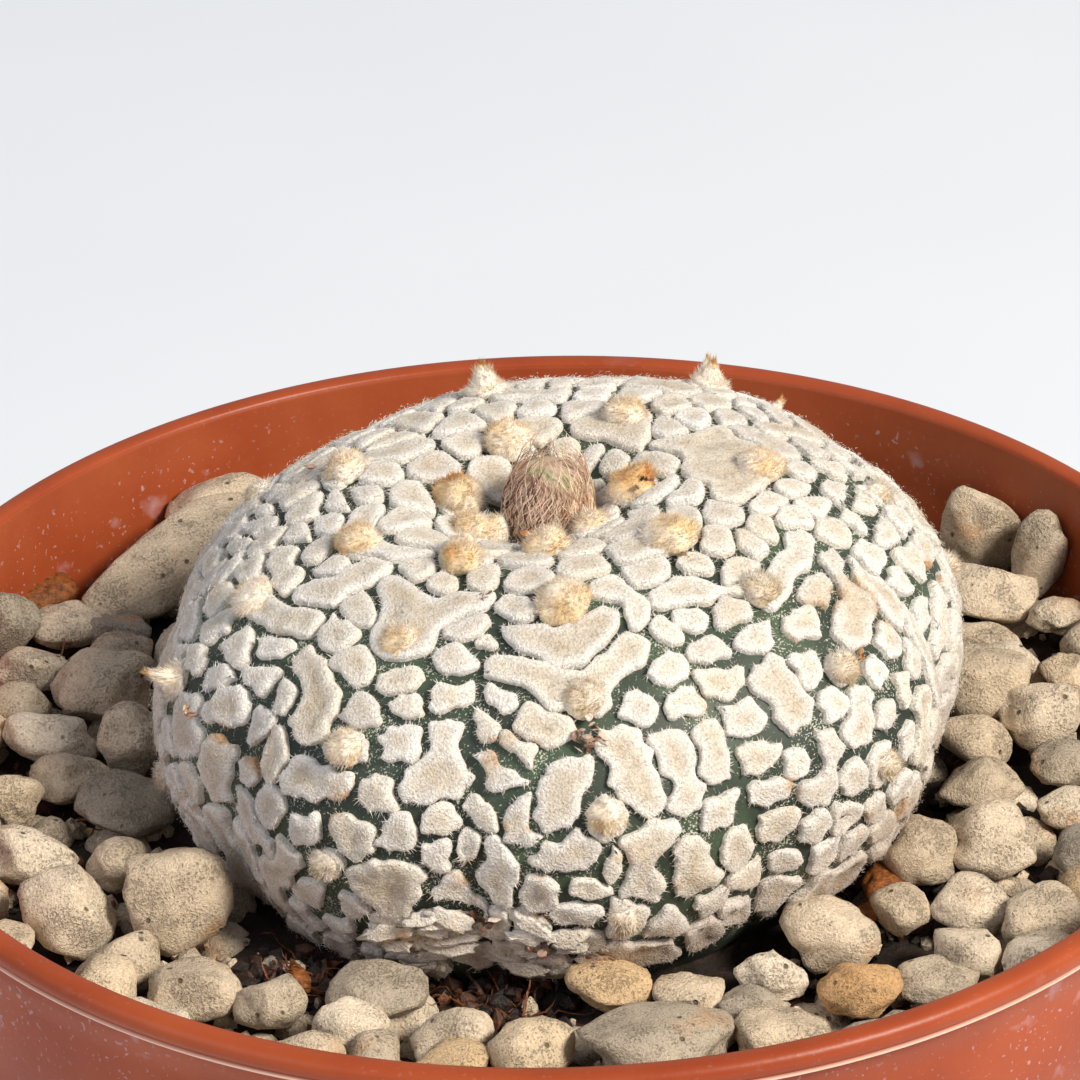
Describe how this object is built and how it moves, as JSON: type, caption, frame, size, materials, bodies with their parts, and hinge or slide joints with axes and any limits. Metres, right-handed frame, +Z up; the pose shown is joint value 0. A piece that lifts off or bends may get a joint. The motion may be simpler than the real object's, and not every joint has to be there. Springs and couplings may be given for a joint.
{
  "type": "potted star cactus",
  "caption": "Flattened star cactus with raised ivory flecks, woolly areoles and a hairy bud, in a gravel-dressed plastic nursery pot.",
  "frame": {"origin": "middle of the pot's foot, on the surface it stands on", "axes": "+Z up, out of the pot; -Y towards the front rib, which carries the flecks' two chevrons; +X to the right"},
  "size_m": [0.085, 0.085, 0.0829],
  "materials": {
    "pot": "satin terracotta-coloured plastic",
    "soil": "rough dark potting soil",
    "gravel": "matt pumice",
    "cactus": "ivory felt flecks on dark green skin",
    "bud": "brown woolly hair"
  },
  "bodies": {
    "root": {"pot": "pot", "soil": "soil", "gravel": "gravel", "cactus_body": "cactus", "flower_bud": "bud"}
  },
  "joints": []
}
